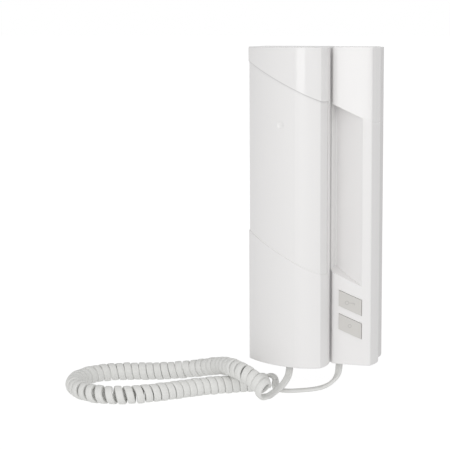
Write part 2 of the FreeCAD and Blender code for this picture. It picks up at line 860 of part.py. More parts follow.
def make_back_shell():
    """The back half of the handset, with its two pads, sound holes and the slot for the lug."""
    shell = handset_body().cut(handset_hollow())
    shell = shell.common(handset_space(-handset_seam + seam_gap, 0))
    for z, radius in ((ear_z, ear_radius), (mouth_z, mouth_radius)):
        pad = rod_y(pad_x, z, -handset_back - wall, -pad_face, radius)
        front_edges = [e for e in pad.Edges if abs(e.BoundBox.YMin + pad_face) < 1e-6]
        rim = [e for e in front_edges if e.BoundBox.XLength > radius]
        shell = shell.fuse(pad.makeFillet(pad_round, rim))
    for z, radius in ((ear_z, ear_radius), (mouth_z, mouth_radius)):
        shell = shell.cut(rod_y(pad_x, z, -handset_back - wall - over, -pad_face - wall, radius - wall))
    ear_holes = sound_holes(ear_z, ear_hole_rings, ear_hole_step, ear_hole_radius)
    mouth_holes = sound_holes(mouth_z, mouth_hole_rings, mouth_hole_step, mouth_hole_radius)
    for hole in ear_holes + mouth_holes:
        shell = shell.cut(hole)
    back = -handset_back
    front = back - handset_post_height
    for z in handset_screw_heights():
        shell = shell.fuse(rod_y(pad_x, z, front, back - wall / 2, handset_post_radius))
        shell = shell.cut(rod_y(pad_x, z, front - over, back + over, screw_radius + screw_clearance))
        seat = back - handset_screw_seat
        shell = shell.cut(rod_y(pad_x, z, seat, back + over, screw_head_radius + head_clearance))
    shell = shell.cut(lug(lug_clearance, wall + over))
    shell = shell.cut(socket(handset_exit_x, handset_exit_depth, bottom - over, loose))
    return shell.removeSplitter()


def handset_screw_heights():
    """Heights of the two screws that hold the handset's shells together."""
    return (ear_z - ear_radius - upper_screw_gap, mouth_z + mouth_radius + lower_screw_gap)


def make_screw_post(z):
    """A post of the front shell that a handset screw bites into."""
    back = -handset_back - handset_post_height - seam_gap
    return rod_y(pad_x, z, -handset_apex_depth + wall + post_root, back, handset_post_radius)


def make_front_shell_with_posts():
    """The front shell and its two screw posts."""
    shell = make_front_shell()
    for z in handset_screw_heights():
        shell = shell.fuse(make_screw_post(z))
        bore_front = -handset_back - handset_bore_depth
        bore_back = -handset_back - handset_post_height + over
        shell = shell.cut(rod_y(pad_x, z, bore_front, bore_back, screw_radius))
    return shell.removeSplitter()


def make_handset_screw(index):
    """A screw from the back of the handset."""
    z = handset_screw_heights()[index]
    seat = V(pad_x, -handset_back - handset_screw_seat, z)
    return screw(seat, -Y_AXIS, handset_screw_length, handset_screw_head)


def make_capsule():
    """The earpiece capsule: a drum with a stepped magnet."""
    front = -pad_face - wall - seal_thickness
    drum = rod_y(pad_x, ear_z, front - capsule_depth, front, capsule_radius)
    back = front - capsule_depth
    return drum.fuse(rod_y(pad_x, ear_z, back - capsule_magnet, back, capsule_magnet_radius))


def make_seal():
    """The foam ring between the earpiece and its pad."""
    front = -pad_face - wall
    ring = rod_y(pad_x, ear_z, front - seal_thickness, front, capsule_radius)
    radius = capsule_radius - seal_width
    return ring.cut(rod_y(pad_x, ear_z, front - seal_thickness - over, front + over, radius))


def make_boot():
    """The rubber boot that holds the microphone against its pad."""
    front = -pad_face - wall
    cup = rod_y(pad_x, mouth_z, front - mic_depth - boot_wall, front, mic_radius + boot_wall)
    return cup.cut(rod_y(pad_x, mouth_z, front - mic_depth, front + over, mic_radius + boot_clearance))


def make_microphone():
    """The microphone capsule in its boot."""
    front = -pad_face - wall
    return rod_y(pad_x, mouth_z, front - mic_depth, front, mic_radius)


def make_weight():
    """The steel bar that gives the handset its heft."""
    back = -handset_back - wall - zone_step
    bar = box(pad_x - weight_left, pad_x + weight_right, back - weight_depth, back, weight_low, weight_high)
    return bar.makeFillet(weight_round, [e for e in bar.Edges if e.BoundBox.YLength > weight_depth / 2])


# ---- Cord --------------------------------------------------------------------------------------------
# Points are chosen by hand, as (x, y, height above the surface that the cord lies on).
handset_lead_route = [
    (-10.0, -38.0, 20.0),
    (-10.0, -38.0, 13.6),
    (-10.6, -42.2, 9.4),
    (-12.2, -47.0, 6.0),
    (-14.0, -52.0, 3.8),
    (-15.2, -57.2, 3.0),
    (-16.4, -63.8, 4.4),
]
base_lead_route = [
    (17.0, -16.2, 20.0),
    (17.0, -16.2, 13.6),
    (15.4, -16.6, 8.0),
    (11.4, -19.6, 4.0),
    (6.0, -24.6, 2.9),
    (-0.6, -31.2, 2.75),
    (-7.6, -37.4, 2.8),
    (-14.6, -41.0, 3.4),
    (-19.8, -39.9, 4.4),
]
coil_route = [
    (-22.6, -34.6, 6.4),
    (-26.4, -39.6, 6.2),
    (-34.6, -44.6, 6.1),
    (-46.0, -55.8, 6.0),
    (-60.6, -68.6, 6.0),
    (-76.2, -91.0, 6.0),
    (-94.0, -110.4, 6.0),
    (-114.0, -117.6, 6.0),
    (-133.6, -112.0, 6.0),
    (-147.2, -98.0, 6.0),
    (-151.4, -81.0, 6.0),
    (-144.4, -64.6, 6.3),
    (-127.0, -54.0, 6.6),
    (-105.0, -46.4, 6.8),
    (-86.0, -38.6, 8.6),
    (-71.4, -40.8, 12.0),
    (-56.5, -47.5, 16.2),
    (-44.0, -58.5, 18.8),
    (-33.0, -66.4, 17.8),
    (-23.5, -68.9, 13.0),
    (-14.9, -68.2, 8.2),
]


def route_points(route, drop):
    """The route in the phone's frame, its first point lowered by drop."""
    surface = bottom - floor_below
    points = [V(x, y, surface + height) for x, y, height in route]
    points[0].z -= drop
    return points


def cord_tube(points, diameter, name):
    """A tube along straight runs joined by tangent arcs, each as large as its two runs allow."""
    radius = diameter / 2
    edges = []
    radii = []
    at = points[0]
    for before, corner, after in zip(points, points[1:], points[2:]):
        into = (corner - before).normalize()
        out = (after - corner).normalize()
        turn = into.getAngle(out)
        run = min(corner.distanceToPoint(before), corner.distanceToPoint(after))
        reach = arc_share * run
        bend = reach / math.tan(turn / 2)
        start = corner - into * reach
        end = corner + out * reach
        centre_way = (out - into).normalize()
        centre = corner + centre_way * (bend / math.cos(turn / 2))
        middle = centre - centre_way * bend
        edges.append(Part.LineSegment(at, start).toShape())
        edges.append(Part.Arc(start, middle, end).toShape())
        radii.append(round(bend, 1))
        at = end
    edges.append(Part.LineSegment(at, points[-1]).toShape())
    path = Part.Wire(edges)
    direction = (points[1] - points[0]).normalize()
    section = Part.Wire(Part.makeCircle(radius, points[0], direction))
    tube = path.makePipeShell([section], True, False)
    expected = math.pi * radius ** 2 * path.Length
    print(name, "length", round(path.Length, 1), "radii", radii)
    print(name, "volume over section x length", round(tube.Volume / expected, 4))
    return tube


# ---- Everything, one file to a piece -----------------------------------------------------------------
def make_parts():
    """All the pieces, by name."""
    parts = {
        "wall_plate": make_plate(),
        "base_cover": make_cover(),
        "main_circuit_board": make_board(),
        "door_key": make_key(0),
        "auxiliary_key": make_key(1),
        "door_switch": make_tactile_switch(0),
        "auxiliary_switch": make_tactile_switch(1),
        "hook_lever": make_lever(),
        "hook_pin": make_hook_pin(),
        "hook_switch": make_hook_switch(),
        "call_speaker": make_speaker(),
        "terminal_block": make_terminal_block(),
        "base_cord_jack": make_jack(base_exit_x, base_exit_depth),
        "base_plug": make_plug(base_exit_x, base_exit_depth),
        "handset_front_shell": make_front_shell_with_posts(),
        "handset_back_shell": make_back_shell(),
        "earpiece_capsule": make_capsule(),
        "earpiece_seal": make_seal(),
        "microphone_capsule": make_microphone(),
        "microphone_boot": make_boot(),
        "handset_weight": make_weight(),
        "handset_cord_jack": make_jack(handset_exit_x, handset_exit_depth),
        "handset_plug": make_plug(handset_exit_x, handset_exit_depth),
    }
    for index in range(terminal_count):
        parts[f"terminal_screw_{index + 1}"] = make_terminal_screw(index)
    for index, (x, z) in enumerate(board_screw_places()):
        seat = V(x, -board_front, z)
        parts[f"board_screw_{index + 1}"] = screw(seat, Y_AXIS, board_screw_length, screw_head_height)
    for index in range(2):
        parts[f"handset_screw_{index + 1}"] = make_handset_screw(index)
    seat = V(cover_screw_x(), -cover_screw_depth, bottom + wall)
    parts["cover_screw"] = screw(seat, Z_AXIS, cover_screw_length, screw_head_height)
    parts["handset_lead"] = cord_tube(route_points(handset_lead_route, gap), cord_width, "handset_lead")
    parts["base_lead"] = cord_tube(route_points(base_lead_route, -plug_recess), cord_width, "base_lead")
    parts["coiled_cord"] = cord_tube(route_points(coil_route, 0), coil_diameter, "coiled_cord")
    return parts


os.makedirs("parts", exist_ok=True)
for node, shape in make_parts().items():
    solids = shape.Solids
    if len(solids) != 1 or not shape.isValid():
        print("CHECK", node, "solids", len(solids), "valid", shape.isValid())
    shape.exportStep(f"parts/{node}.step")
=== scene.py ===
"""A slimline wall phone for a door-entry line: its stage, its coiled cord, its key signs and its finishes."""

import bpy
import math
from mathutils import Matrix, Vector


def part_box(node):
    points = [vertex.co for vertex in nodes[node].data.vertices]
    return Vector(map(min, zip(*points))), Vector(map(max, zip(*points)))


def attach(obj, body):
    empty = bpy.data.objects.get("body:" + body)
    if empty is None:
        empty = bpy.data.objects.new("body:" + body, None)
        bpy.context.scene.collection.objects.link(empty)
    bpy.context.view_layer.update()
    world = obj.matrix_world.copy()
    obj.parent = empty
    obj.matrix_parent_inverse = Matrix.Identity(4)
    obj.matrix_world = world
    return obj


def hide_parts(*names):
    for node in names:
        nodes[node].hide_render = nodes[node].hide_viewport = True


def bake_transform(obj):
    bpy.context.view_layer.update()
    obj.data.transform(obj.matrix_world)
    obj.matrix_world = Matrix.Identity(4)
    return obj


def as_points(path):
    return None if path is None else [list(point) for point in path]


bl_info = {
    "name": "Slimline Wall Phone",
    "version": (1, 0, 0),
    "blender": (4, 5, 0),
    "location": "3D View > Sidebar > Wall Phone",
    "description": "Builds the coiled cord, key signs and finishes of a slimline wall phone on its frame",
    "category": "Object",
}

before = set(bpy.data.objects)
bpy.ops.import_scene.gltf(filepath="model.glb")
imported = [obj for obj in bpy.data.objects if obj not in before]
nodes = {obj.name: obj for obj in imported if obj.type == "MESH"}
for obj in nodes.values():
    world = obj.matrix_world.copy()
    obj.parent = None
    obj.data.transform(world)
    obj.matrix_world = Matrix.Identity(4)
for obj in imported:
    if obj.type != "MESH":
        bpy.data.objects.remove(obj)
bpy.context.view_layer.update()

MM = 0.001
UP = Vector((0, 0, 1))

# The surface that the cord lies on, below the phone, in millimetres.
FLOOR = -126.0

# The coil's last turn ends here, in degrees round its middle line: at the bottom, on its way to the wall.
END_ANGLE = 285.0

# Where the coil crosses over its own start, and the cord's two pieces meet.
CROSSING = (-56.5, -47.5, 16.2)

# Points (x, y, height above the surface) in millimetres. The phone's own end comes first.
BASE_TAIL = [
    (17.0, -16.2, 19.6), (17.0, -16.4, 14.6), (16.2, -17.4, 9.6), (13.4, -20.0, 5.2),
    (9.0, -24.0, 2.4), (3.4, -29.0, 1.4), (-3.2, -34.6, 1.3), (-9.4, -39.6, 1.3), (-15.6, -42.4, 1.8),
    (-19.8, -41.4, 3.4),
]
COIL_ROUTE = [
    (-25.2, -34.2, 6.4), (-25.8, -39.2, 6.3), (-32.4, -44.6, 6.1), (-46.0, -55.8, 6.0), (-60.6, -68.6, 6.0),
    (-76.2, -91.0, 6.0), (-93.6, -110.4, 6.0), (-113.0, -117.6, 6.0), (-131.6, -112.0, 6.0),
    (-144.6, -98.0, 6.0), (-148.6, -81.0, 6.0), (-142.0, -64.8, 6.3), (-126.0, -54.2, 6.6),
    (-105.0, -46.4, 6.8), (-86.0, -38.6, 8.6), (-71.4, -40.8, 12.0), CROSSING, (-44.0, -58.5, 18.8),
    (-33.0, -65.2, 18.2), (-23.0, -67.2, 14.4), (-12.8, -70.4, 8.8),
]
HANDSET_TAIL = [
    (-14.6, -62.6, 2.7), (-14.7, -57.2, 3.1), (-14.1, -51.4, 4.0), (-12.6, -46.6, 5.8),
    (-10.8, -42.4, 9.4), (-10.0, -38.6, 13.8), (-10.0, -38.0, 20.0),
]

# Which way the flat cord's wide side points: at the base tail's first points, after which it lies flat on
# the surface, and at all points of the handset's tail.
BASE_TAIL_WIDE = [(1, 0, 0), (0.97, -0.15, 0.1), (0.85, -0.35, 0.35), (0.5, -0.6, 0.3)]
HANDSET_TAIL_WIDE = [
    (0.92, -0.1, -0.38), (0.97, 0.1, -0.2), (0.97, 0.2, -0.1), (0.98, 0.1, 0),
    (1, 0, 0), (1, 0, 0), (1, 0, 0),
]

# The cord's section, as shares of its thickness: its edges' radius, and how far its flats bulge.
EDGE_SHARE = 0.42
CROWN_SHARE = 0.03
EDGE_STEPS = 3

# The coil. Where it is drawn open: start, soft shoulder, end, soft shoulder, in metres from the coil's start
# for its front and from its end for its hump, where it opens by only this share.
OPEN_FRONT = (0.07, 0.04, 0.175, 0.03)
OPEN_HUMP = (0.025, 0.02, 0.095, 0.02)
HUMP_SHARE = 0.5

# The coil's last stretch, in metres, where a bend doesn't draw it open, and the soft way into that.
END_HELD = 0.02
END_SHOULDER = 0.03

# Points on each turn, how many turns the narrow start and the wide end take, and how their radii wander.
STEPS_PER_TURN = 16
FIRST_TURN_REACH = 1.8
FLARE_REACH = 0.75
UNEVEN_RATE = 0.41

# Distances along the coil, in metres: for its direction, for its bend, and between two readings of its pitch.
DIRECTION_REACH = 0.0015
BEND_REACH = 0.006
PITCH_STEP = 0.0005

# Fineness of the two splines, and the distance under which two of their points are one.
ROUTE_RESOLUTION = 24
CORD_RESOLUTION = 3
SAME_POINT = 1e-6

# The polished skin ends at a line that falls to the right by this share. Below it lies a narrow line of
# painted shade that stands in for the shade under the step, and dust settles on what looks up. Sizes are in
# metres, and the last number is the painted shade's share of the colour.
SLANT = 0.46
SHADE_LINE_WIDTH = 0.00055
SHADE_LINE_SOFTNESS = 0.0004
PAINTED_SHADE_SHARE = 0.62
DUST_COLOUR = (0.52, 0.50, 0.47, 1)

# The signs on the keys: ring radii as shares of the sign's width, and each tooth's place along the sign
# and drop. The rest is in metres: thickness of the print, room in front of a key, and the lower ring's rise.
BOW_SHARE = 0.21
RING_SHARE = 0.19
TEETH = [(0.5, 0.0011), (0.36, 0.0008)]
PRINT_DEPTH = 0.00006
SIGN_CLEARANCE = 0.001
RING_RISE = 0.0003

# The camera, in the phone's frame, and how far the lights stand away, in metres.
CAMERA_PLACE = (0.377757, -0.931195, 0.126921)
CAMERA_AHEAD = (-0.43418, 0.88974, -0.14086)
CAMERA_OVER = (-0.05618, 0.12933, 0.99001)
SENSOR_WIDTH = 36.0
LIGHT_DISTANCE = 1.6

# The way from which the room's light is brightest.
BRIGHT_WAY = (0.38, -0.82, 0.43)


# ---- Sizes and colours -------------------------------------------------------------------------------
class WallPhoneCord(bpy.types.PropertyGroup):
    """The coiled cord."""

    width: bpy.props.FloatProperty(
        name="Cord Width", description="Width of the flat cord", default=0.0049, unit="LENGTH")
    thickness: bpy.props.FloatProperty(
        name="Cord Thickness", description="Thickness of the flat cord", default=0.0023, unit="LENGTH")
    turn_radius: bpy.props.FloatProperty(
        name="Turn Radius", description="From the coil's middle to the middle of the cord",
        default=0.00485, unit="LENGTH")
    end_radius: bpy.props.FloatProperty(
        name="End Turn Radius", description="Radius of the wide turn at the handset's end",
        default=0.0065, unit="LENGTH")
    first_turn: bpy.props.FloatProperty(
        name="First Turn", description="How much smaller the first turn is than the others", default=0.3,
        min=0.0, max=0.5, subtype="FACTOR")
    unevenness: bpy.props.FloatProperty(
        name="Unevenness", description="How far the turns' radii differ", default=0.00016, unit="LENGTH")
    pitch: bpy.props.FloatProperty(
        name="Pitch", description="From one turn to the next where they touch",
        default=0.00508, unit="LENGTH")
    spread: bpy.props.FloatProperty(
        name="Spread", description="How far the coil is drawn open at its front", default=0.10,
        min=0.0, max=1.0, subtype="FACTOR")
    colour: bpy.props.FloatVectorProperty(
        name="Cord Colour", description="Colour of the cord's vinyl", default=(0.472, 0.458, 0.436),
        size=3, min=0.0, max=1.0, subtype="COLOR")


class WallPhonePlastic(bpy.types.PropertyGroup):
    """The housing, the handset and the keys."""

    shell: bpy.props.FloatVectorProperty(
        name="Shell Colour", description="Colour of the housing and handset", default=(0.855, 0.845, 0.84),
        size=3, min=0.0, max=1.0, subtype="COLOR")
    plate: bpy.props.FloatVectorProperty(
        name="Wall Plate Colour", description="Colour of the wall plate", default=(0.74, 0.73, 0.727),
        size=3, min=0.0, max=1.0, subtype="COLOR")
    keys: bpy.props.FloatVectorProperty(
        name="Key Colour", description="Colour of the two keys", default=(0.64, 0.625, 0.60),
        size=3, min=0.0, max=1.0, subtype="COLOR")
    signs: bpy.props.FloatVectorProperty(
        name="Sign Colour", description="Colour of the signs printed on the keys",
        default=(0.53, 0.52, 0.50), size=3, min=0.0, max=1.0, subtype="COLOR")
    dust: bpy.props.FloatProperty(
        name="Dust", description="Fine dust on faces that look up", default=0.12, min=0.0, max=1.0,
        subtype="FACTOR")
    sign_width: bpy.props.FloatProperty(
        name="Sign Width", description="Width of the key sign on the upper key",
        default=0.0068, unit="LENGTH")
    sign_stroke: bpy.props.FloatProperty(
        name="Sign Stroke", description="Width of the signs' strokes", default=0.00045, unit="LENGTH")


class WallPhoneStage(bpy.types.PropertyGroup):
    """The floor, the lights and the camera."""

    floor_size: bpy.props.FloatProperty(
        name="Floor Size", description="Side of the square floor", default=30.0, unit="LENGTH")
    floor_glow: bpy.props.FloatProperty(
        name="Floor Glow", description="Strength of the light table under the phone", default=0.85)
    floor_lamp: bpy.props.FloatProperty(
        name="Floor Lamp", description="Strength of the floor's glow on what stands over it", default=0.55)
    key_power: bpy.props.FloatProperty(
        name="Key Power", description="Power of the soft box in front, in watts", default=6.0)
    strip_power: bpy.props.FloatProperty(
        name="Strip Power", description="Power of the narrow light that picks out the edges, in watts",
        default=1.5)
    front: bpy.props.FloatProperty(
        name="Front Light", description="Strength of the wide light from the front", default=0.855)
    room: bpy.props.FloatProperty(
        name="Room Light", description="Strength of the light from the sides", default=0.24)
    lens: bpy.props.FloatProperty(
        name="Lens", description="Focal length of the camera, in millimetres", default=118.15)


# ---- Helpers -----------------------------------------------------------------------------------------
def settings(group):
    """The sizes and colours of one of the three groups."""
    return getattr(bpy.context.scene, "wall_phone_" + group)


def deselect():
    """Leaves edit mode and selects nothing."""
    if bpy.context.object and bpy.context.object.mode != "OBJECT":
        bpy.ops.object.mode_set(mode="OBJECT")
    bpy.ops.object.select_all(action="DESELECT")


def in_metres(points):
    """Points in the phone's frame, in metres, from points whose heights are above the surface."""
    return [Vector((x, y, FLOOR + height)) * MM for x, y, height in points]


def spline_line(points, resolution):
    """Points along the smooth spline that has these control points."""
    data = bpy.data.curves.new("cord_line", "CURVE")
    data.dimensions = "3D"
    data.resolution_u = resolution
    spline = data.splines.new("NURBS")
    spline.points.add(len(points) - 1)
    for control, point in zip(spline.points, points):
        control.co = (*point, 1)
    spline.order_u = 3
    spline.use_endpoint_u = True
    curve = bpy.data.objects.new("cord_line", data)
    bpy.context.scene.collection.objects.link(curve)
    bpy.context.view_layer.update()
    mesh = bpy.data.meshes.new_from_object(curve)
    line = []
    for vertex in mesh.vertices:
        if not line or (vertex.co - line[-1]).length > SAME_POINT:
            line.append(vertex.co.copy())
    bpy.data.objects.remove(curve)
    bpy.data.meshes.remove(mesh)
    bpy.data.curves.remove(data)
    return line


def smooth_step(value):
    """0 below 0, 1 above 1, and a soft way between them."""
    value = min(max(value, 0.0), 1.0)
    return value * value * (3 - 2 * value)


def plateau(value, start, rise, end, fall):
    """1 from start to end and 0 outside, with soft shoulders that are rise and fall wide."""
    return smooth_step((value - start) / rise) * smooth_step((end - value) / fall)


def line_reader(line):
    """The length of a line, and a function that gives its point at a distance from its start."""
    marks = [0.0]
    for before, after in zip(line, line[1:]):
        marks.append(marks[-1] + (after - before).length)

    def at(distance):
        distance = min(max(distance, 0.0), marks[-1])
        low, high = 0, len(marks) - 1
        while high - low > 1:
            middle = (low + high) // 2
            if marks[middle] <= distance:
                low = middle
            else:
                high = middle
        share = (distance - marks[low]) / max(marks[high] - marks[low], 1e-9)
        return line[low].lerp(line[high], share)

    return marks[-1], at


# ---- The cord ----------------------------------------------------------------------------------------
def flat_section(width, thickness):
    """The cord's section: (across, outwards) points round a flat strip with rounded edges."""
    corner = thickness * EDGE_SHARE
    crown = thickness * CROWN_SHARE
    points = []
    for side_x, side_y, start in ((1, 1, 0), (-1, 1, 90), (-1, -1, 180), (1, -1, 270)):
        for step in range(EDGE_STEPS + 1):
            angle = math.radians(start + step * 90 / EDGE_STEPS)
            points.append((
                side_x * (width / 2 - corner) + corner * math.cos(angle),
                side_y * (thickness / 2 - corner) + corner * math.sin(angle),
            ))
        if start == 0:
            points.append((0.0, thickness / 2 + crown))
        if start == 180:
            points.append((0.0, -thickness / 2 - crown))
    return points


def cord_controls(cord):
    """The coil's control points, and the way that the cord's wide side points at each."""
    length, at = line_reader(spline_line(in_metres(COIL_ROUTE), ROUTE_RESOLUTION))
    turn = 2 * math.pi
    end_angle = math.radians(END_ANGLE)
    # A quadratic spline runs inside its control points, so they are set further out by this share.
    shrink = 1 - (turn / STEPS_PER_TURN) ** 2 / 8

    def frame_at(distance):
        along = (at(distance + DIRECTION_REACH) - at(distance - DIRECTION_REACH)).normalized()
        side = UP.cross(along).normalized()
        return at(distance), along, side, along.cross(side)

    def bend_at(distance):
        distance = min(max(distance, BEND_REACH), length - BEND_REACH)
        before = at(distance) - at(distance - BEND_REACH)
        after = at(distance + BEND_REACH) - at(distance)
        return before.angle(after) / BEND_REACH

    def pitch_at(distance):
        free = smooth_step((length - END_HELD - distance) / END_SHOULDER)
        opening = plateau(distance, *OPEN_FRONT) + HUMP_SHARE * plateau(length - distance, *OPEN_HUMP)
        return cord.pitch * (1 + cord.turn_radius * bend_at(distance) * free + cord.spread * opening)

    # The turns are spaced a little wider or closer, so that the last one ends at its angle.
    readings = range(int(length / PITCH_STEP))
    reach = turn * sum(PITCH_STEP / pitch_at(PITCH_STEP * step) for step in readings)
    wanted = end_angle + turn * round((reach - end_angle) / turn)
    coil, wide = [], []
    distance, angle = 0.0, 0.0
    while distance < length:
        place, along, side, rise = frame_at(distance)
        flare = smooth_step(1 - (length - distance) / (FLARE_REACH * cord.pitch))
        radius = cord.turn_radius + (cord.end_radius - cord.turn_radius) * flare
        radius *= 1 - cord.first_turn * smooth_step(FIRST_TURN_REACH - distance / cord.pitch)
        radius += cord.unevenness * math.sin(angle * UNEVEN_RATE) * (1 - flare)
        out = side * math.cos(angle) + rise * math.sin(angle)
        coil.append(place + out * radius / shrink)
        wide.append(along)
        angle += turn / STEPS_PER_TURN
        distance += pitch_at(distance) * reach / wanted / STEPS_PER_TURN
    return coil, wide


def sweep(name, line, wide, section):
    """A mesh tube with that section along a line, its wide side along the given way at each point."""
    count = len(section)
    verts, faces = [], []
    for index, point in enumerate(line):
        ahead = line[min(index + 1, len(line) - 1)] - line[max(index - 1, 0)]
        ahead.normalize()
        across = (wide[index] - ahead * wide[index].dot(ahead)).normalized()
        outwards = ahead.cross(across)
        verts += [point + across * x + outwards * y for x, y in section]
    for ring in range(len(line) - 1):
        for step in range(count):
            after = (step + 1) % count
            a, b = ring * count + step, ring * count + after
            faces.append((a, b, b + count, a + count))
    faces.append(tuple(reversed(range(count))))
    faces.append(tuple(range((len(line) - 1) * count, len(line) * count)))
    mesh = bpy.data.meshes.new(name)
    mesh.from_pydata(verts, [], faces)
    uv = mesh.uv_layers.new(name="Along")
    travelled = [0.0]
    for before, after in zip(line, line[1:]):
        travelled.append(travelled[-1] + (after - before).length)
    girth = 0.012
    sides = (len(line) - 1) * count
    for polygon in mesh.polygons:
        closing = polygon.index < sides and polygon.index % count == count - 1
        for corner in polygon.loop_indices:
            vertex = mesh.loops[corner].vertex_index
            step = vertex % count
            if closing and step == 0:
                step = count
            uv.data[corner].uv = (travelled[vertex // count], step / count * girth)
    mesh.update()
    obj = bpy.data.objects.new(name, mesh)
    bpy.context.scene.collection.objects.link(obj)
    deselect()
    obj.select_set(True)
    bpy.context.view_layer.objects.active = obj
    bpy.ops.object.mode_set(mode="EDIT")
    bpy.ops.mesh.select_all(action="SELECT")
    bpy.ops.mesh.normals_make_consistent(inside=False)
    bpy.ops.object.mode_set(mode="OBJECT")
    bpy.ops.object.shade_smooth_by_angle(angle=math.radians(50))
    return obj


class WALLPHONE_OT_cord(bpy.types.Operator):
    """Make the coiled cord in two pieces that meet where it crosses its own start"""

    bl_idname = "wall_phone.cord"
    bl_label = "Make Coiled Cord"

    def execute(self, context):
        cord = settings("cord")
        base = in_metres(BASE_TAIL)
        tail = in_metres(HANDSET_TAIL)
        coil, coil_wide = cord_controls(cord)
        base_wide = [Vector(way) for way in BASE_TAIL_WIDE]
        given = len(base_wide)
        for before, after in zip(base[given - 1:], base[given + 1:] + [coil[0]]):
            ahead = after - before
            base_wide.append(Vector((-ahead.y, ahead.x, 0)).normalized())
        tail_wide = [Vector(way) for way in HANDSET_TAIL_WIDE]
        controls = base + coil + tail
        wide = base_wide + coil_wide + tail_wide
        line = spline_line(controls, CORD_RESOLUTION)
        # A second line, a little to the cord's wide side, tells which way that side points all along.
        shifted = spline_line([point + way * 0.01 for point, way in zip(controls, wide)], CORD_RESOLUTION)
        ways = [(b - a).normalized() for a, b in zip(line, shifted)]
        section = flat_section(cord.width, cord.thickness)

        crossing = in_metres([CROSSING])[0]
        half = len(line) // 2
        split = min(range(half, len(line)), key=lambda i: (line[i] - crossing).length)
        near_line, far_line = line[: split + 1], line[split:]
        near = sweep("coiled_cord_run", near_line, ways[: split + 1], section)
        far = sweep("coiled_cord_end", far_line, ways[split:], section)
        for obj in (near, far):
            obj.data.materials.append(vinyl(cord))
        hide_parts("coiled_cord", "base_lead")
        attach(near, "base")
        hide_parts("handset_lead")
        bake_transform(far)
        for obj, points, start in ((near, near_line, base[0]), (far, far_line[::-1], tail[-1])):
            run = sum((b - a).length for a, b in zip(points, points[1:]))
            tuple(start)
            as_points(points)
        return {"FINISHED"}


# ---- Finishes ----------------------------------------------------------------------------------------
class Tree:
    """A node tree with a short way to add nodes and links."""

    def __init__(self, tree):
        self.tree = tree
        self.column = 0

    def add(self, kind, inputs=None, **values):
        node = self.tree.nodes.new(kind)
        self.column += 1
        node.location = (self.column * 180, 0)
        for name, value in values.items():
            setattr(node, name, value)
        for name, value in (inputs or {}).items():
            socket = node.inputs[name]
            if isinstance(value, bpy.types.NodeSocket):
                self.tree.links.new(value, socket)
            else:
                socket.default_value = value
        return node

    def math(self, operation, *values, clamp=False):
        node = self.add("ShaderNodeMath", dict(enumerate(values)), operation=operation, use_clamp=clamp)
        return node.outputs[0]

    def blend(self, factor, first, second):
        node = self.add("ShaderNodeMix", data_type="RGBA")
        for socket, value in zip((node.inputs[0], node.inputs[6], node.inputs[7]), (factor, first, second)):
            if isinstance(value, bpy.types.NodeSocket):
                self.tree.links.new(value, socket)
            else:
                socket.default_value = value
        return node.outputs[2]


def new_group(name, inputs, outputs):
    """An empty shader node group with named sockets, its tree, and its input node."""
    tree = bpy.data.node_groups.new(name, "ShaderNodeTree")
    for label, kind, value in inputs:
        socket = tree.interface.new_socket(label, in_out="INPUT", socket_type=kind)
        if value is not None:
            socket.default_value = value
    for label, kind in outputs:
        tree.interface.new_socket(label, in_out="OUTPUT", socket_type=kind)
    return Tree(tree), tree.nodes.new("NodeGroupInput"), tree.nodes.new("NodeGroupOutput")


def moulding_group():
    """Shade drift, handling marks and fine spark texture of moulded plastic."""
    found = bpy.data.node_groups.get("Moulded Plastic")
    if found:
        return found
    t, source, sink = new_group(
        "Moulded Plastic",
        [
            ("Vector", "NodeSocketVector", None),
            ("Colour", "NodeSocketColor", (0.7, 0.7, 0.7, 1)),
            ("Gloss Mask", "NodeSocketFloat", 0.0),
            ("Satin Roughness", "NodeSocketFloat", 0.38),
            ("Gloss Roughness", "NodeSocketFloat", 0.1),
            ("Drift", "NodeSocketFloat", 0.02),
        ],
        [("Colour", "NodeSocketColor"), ("Roughness", "NodeSocketFloat"), ("Height", "NodeSocketFloat")],
    )
    vector = source.outputs["Vector"]
    drift = t.add("ShaderNodeTexNoise", {"Vector": vector, "Scale": 18.0, "Detail": 3.0, "Roughness": 0.5})
    fine = t.add("ShaderNodeTexNoise", {"Vector": vector, "Scale": 2600.0, "Detail": 2.0, "Roughness": 0.6})
    peel = t.add("ShaderNodeTexNoise", {"Vector": vector, "Scale": 320.0, "Detail": 1.0, "Roughness": 0.4})
    rub = t.add("ShaderNodeTexNoise", {"Vector": vector, "Scale": 60.0, "Detail": 5.0, "Roughness": 0.65})
    shade = t.math("MULTIPLY", t.math("SUBTRACT", drift.outputs[0], 0.5), source.outputs["Drift"])
    gain = t.math("ADD", shade, 1.0)
    colour = t.add("ShaderNodeVectorMath", {0: source.outputs["Colour"], 3: gain}, operation="SCALE")
    base_rough = t.add("ShaderNodeMix", {
        "Factor": source.outputs["Gloss Mask"],
        "A": source.outputs["Satin Roughness"],
        "B": source.outputs["Gloss Roughness"],
    }, data_type="FLOAT").outputs[0]
    marks = t.math("MULTIPLY", t.math("SUBTRACT", rub.outputs[0], 0.5), 0.06)
    rough = t.math("ADD", base_rough, marks, clamp=True)
    satin = t.math("SUBTRACT", 1.0, source.outputs["Gloss Mask"])
    spark = t.math("MULTIPLY", fine.outputs[0], satin)
    skin = t.math("MULTIPLY", peel.outputs[0], 0.35)
    height = t.math("ADD", spark, skin)
    t.tree.links.new(colour.outputs[0], sink.inputs["Colour"])
    t.tree.links.new(rough, sink.inputs["Roughness"])
    t.tree.links.new(height, sink.inputs["Height"])
    return t.tree


